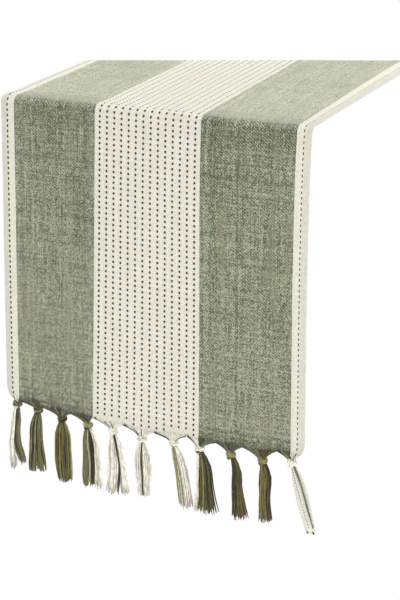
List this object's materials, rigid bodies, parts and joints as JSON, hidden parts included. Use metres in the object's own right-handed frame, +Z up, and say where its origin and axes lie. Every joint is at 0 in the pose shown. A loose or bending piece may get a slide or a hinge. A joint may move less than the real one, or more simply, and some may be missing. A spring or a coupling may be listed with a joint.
{
  "type": "table runner",
  "caption": "Woven cotton table runner in cream and sage stripes with running stitches, draped over a table's width, with a knotted tassel fringe on each hanging end.",
  "frame": {"origin": "middle of the cloth's flat underside, where it lies on the table top", "axes": "+X across the cloth, +Y along it towards the back drop, +Z up; the front drop hangs at -Y"},
  "size_m": [0.3856, 0.9794, 0.4448],
  "materials": {
    "border_weave": "matte cream cotton with one dark running stitch",
    "cream_weave": "matte cream cotton with rows of dark running stitch",
    "sage_weave": "matte sage chambray, slightly heathered",
    "cream_tassel_yarn": "loose cream yarn with a few dark ends",
    "olive_tassel_yarn": "loose olive and sage yarn"
  },
  "bodies": {
    "cloth_on_table": {"left_border_top": "border_weave", "left_sage_panel_top": "sage_weave", "centre_panel_top": "cream_weave", "right_sage_panel_top": "sage_weave", "right_border_top": "border_weave", "left_border_front_fold": "border_weave", "left_sage_panel_front_fold": "sage_weave", "centre_panel_front_fold": "cream_weave", "right_sage_panel_front_fold": "sage_weave", "right_border_front_fold": "border_weave", "left_border_back_fold": "border_weave", "left_sage_panel_back_fold": "sage_weave", "centre_panel_back_fold": "cream_weave", "right_sage_panel_back_fold": "sage_weave", "right_border_back_fold": "border_weave"},
    "front_drop": {"left_border_front_drop": "border_weave", "left_sage_panel_front_drop": "sage_weave", "centre_panel_front_drop": "cream_weave", "right_sage_panel_front_drop": "sage_weave", "right_border_front_drop": "border_weave"},
    "back_drop": {"left_border_back_drop": "border_weave", "left_sage_panel_back_drop": "sage_weave", "centre_panel_back_drop": "cream_weave", "right_sage_panel_back_drop": "sage_weave", "right_border_back_drop": "border_weave"},
    "front_tassel_01": {"front_tassel_01": "cream_tassel_yarn"},
    "front_tassel_02": {"front_tassel_02": "olive_tassel_yarn"},
    "front_tassel_03": {"front_tassel_03": "olive_tassel_yarn"},
    "front_tassel_04": {"front_tassel_04": "olive_tassel_yarn"},
    "front_tassel_05": {"front_tassel_05": "cream_tassel_yarn"},
    "front_tassel_06": {"front_tassel_06": "cream_tassel_yarn"},
    "front_tassel_07": {"front_tassel_07": "cream_tassel_yarn"},
    "front_tassel_08": {"front_tassel_08": "cream_tassel_yarn"},
    "front_tassel_09": {"front_tassel_09": "olive_tassel_yarn"},
    "front_tassel_10": {"front_tassel_10": "olive_tassel_yarn"},
    "front_tassel_11": {"front_tassel_11": "cream_tassel_yarn"},
    "back_tassel_01": {"back_tassel_01": "cream_tassel_yarn"},
    "back_tassel_02": {"back_tassel_02": "olive_tassel_yarn"},
    "back_tassel_03": {"back_tassel_03": "olive_tassel_yarn"},
    "back_tassel_04": {"back_tassel_04": "cream_tassel_yarn"},
    "back_tassel_05": {"back_tassel_05": "cream_tassel_yarn"},
    "back_tassel_06": {"back_tassel_06": "cream_tassel_yarn"},
    "back_tassel_07": {"back_tassel_07": "cream_tassel_yarn"},
    "back_tassel_08": {"back_tassel_08": "olive_tassel_yarn"},
    "back_tassel_09": {"back_tassel_09": "olive_tassel_yarn"},
    "back_tassel_10": {"back_tassel_10": "olive_tassel_yarn"},
    "back_tassel_11": {"back_tassel_11": "cream_tassel_yarn"}
  },
  "joints": [
    {"name": "front_drop_lift", "type": "hinge", "parent": "cloth_on_table", "child": "front_drop", "pos_m": [0, -0.476, -0.008], "axis": [-1, 0, 0], "range_deg": [0, 90], "deforming": ["left_border_front_fold", "left_sage_panel_front_fold", "centre_panel_front_fold", "right_sage_panel_front_fold", "right_border_front_fold"]},
    {"name": "back_drop_lift", "type": "hinge", "parent": "cloth_on_table", "child": "back_drop", "pos_m": [0, 0.476, -0.008], "axis": [1, 0, 0], "range_deg": [0, 90], "deforming": ["left_border_back_fold", "left_sage_panel_back_fold", "centre_panel_back_fold", "right_sage_panel_back_fold", "right_border_back_fold"]},
    {"name": "front_tassel_01_swing", "type": "hinge", "parent": "front_drop", "child": "front_tassel_01", "pos_m": [-0.167, -0.4846, -0.35], "axis": [-1, 0, 0], "range_deg": [-70, 70]},
    {"name": "front_tassel_02_swing", "type": "hinge", "parent": "front_drop", "child": "front_tassel_02", "pos_m": [-0.141, -0.4846, -0.353], "axis": [-1, 0, 0], "range_deg": [-70, 70]},
    {"name": "front_tassel_03_swing", "type": "hinge", "parent": "front_drop", "child": "front_tassel_03", "pos_m": [-0.111, -0.4846, -0.358], "axis": [-1, 0, 0], "range_deg": [-70, 70]},
    {"name": "front_tassel_04_swing", "type": "hinge", "parent": "front_drop", "child": "front_tassel_04", "pos_m": [-0.079, -0.4846, -0.361], "axis": [-1, 0, 0], "range_deg": [-70, 70]},
    {"name": "front_tassel_05_swing", "type": "hinge", "parent": "front_drop", "child": "front_tassel_05", "pos_m": [-0.048, -0.4846, -0.363], "axis": [-1, 0, 0], "range_deg": [-70, 70]},
    {"name": "front_tassel_06_swing", "type": "hinge", "parent": "front_drop", "child": "front_tassel_06", "pos_m": [-0.013, -0.4846, -0.366], "axis": [-1, 0, 0], "range_deg": [-70, 70]},
    {"name": "front_tassel_07_swing", "type": "hinge", "parent": "front_drop", "child": "front_tassel_07", "pos_m": [0.025, -0.4846, -0.364], "axis": [-1, 0, 0], "range_deg": [-70, 70]},
    {"name": "front_tassel_08_swing", "type": "hinge", "parent": "front_drop", "child": "front_tassel_08", "pos_m": [0.056, -0.4846, -0.366], "axis": [-1, 0, 0], "range_deg": [-70, 70]},
    {"name": "front_tassel_09_swing", "type": "hinge", "parent": "front_drop", "child": "front_tassel_09", "pos_m": [0.093, -0.4846, -0.367], "axis": [-1, 0, 0], "range_deg": [-70, 70]},
    {"name": "front_tassel_10_swing", "type": "hinge", "parent": "front_drop", "child": "front_tassel_10", "pos_m": [0.13, -0.4846, -0.368], "axis": [-1, 0, 0], "range_deg": [-70, 70]},
    {"name": "front_tassel_11_swing", "type": "hinge", "parent": "front_drop", "child": "front_tassel_11", "pos_m": [0.164, -0.4846, -0.365], "axis": [-1, 0, 0], "range_deg": [-70, 70]},
    {"name": "back_tassel_01_swing", "type": "hinge", "parent": "back_drop", "child": "back_tassel_01", "pos_m": [-0.164, 0.4846, -0.365], "axis": [1, 0, 0], "range_deg": [-70, 70]},
    {"name": "back_tassel_02_swing", "type": "hinge", "parent": "back_drop", "child": "back_tassel_02", "pos_m": [-0.13, 0.4846, -0.368], "axis": [1, 0, 0], "range_deg": [-70, 70]},
    {"name": "back_tassel_03_swing", "type": "hinge", "parent": "back_drop", "child": "back_tassel_03", "pos_m": [-0.093, 0.4846, -0.367], "axis": [1, 0, 0], "range_deg": [-70, 70]},
    {"name": "back_tassel_04_swing", "type": "hinge", "parent": "back_drop", "child": "back_tassel_04", "pos_m": [-0.056, 0.4846, -0.366], "axis": [1, 0, 0], "range_deg": [-70, 70]},
    {"name": "back_tassel_05_swing", "type": "hinge", "parent": "back_drop", "child": "back_tassel_05", "pos_m": [-0.025, 0.4846, -0.364], "axis": [1, 0, 0], "range_deg": [-70, 70]},
    {"name": "back_tassel_06_swing", "type": "hinge", "parent": "back_drop", "child": "back_tassel_06", "pos_m": [0.013, 0.4846, -0.366], "axis": [1, 0, 0], "range_deg": [-70, 70]},
    {"name": "back_tassel_07_swing", "type": "hinge", "parent": "back_drop", "child": "back_tassel_07", "pos_m": [0.048, 0.4846, -0.363], "axis": [1, 0, 0], "range_deg": [-70, 70]},
    {"name": "back_tassel_08_swing", "type": "hinge", "parent": "back_drop", "child": "back_tassel_08", "pos_m": [0.079, 0.4846, -0.361], "axis": [1, 0, 0], "range_deg": [-70, 70]},
    {"name": "back_tassel_09_swing", "type": "hinge", "parent": "back_drop", "child": "back_tassel_09", "pos_m": [0.111, 0.4846, -0.358], "axis": [1, 0, 0], "range_deg": [-70, 70]},
    {"name": "back_tassel_10_swing", "type": "hinge", "parent": "back_drop", "child": "back_tassel_10", "pos_m": [0.141, 0.4846, -0.353], "axis": [1, 0, 0], "range_deg": [-70, 70]},
    {"name": "back_tassel_11_swing", "type": "hinge", "parent": "back_drop", "child": "back_tassel_11", "pos_m": [0.167, 0.4846, -0.35], "axis": [1, 0, 0], "range_deg": [-70, 70]}
  ]
}
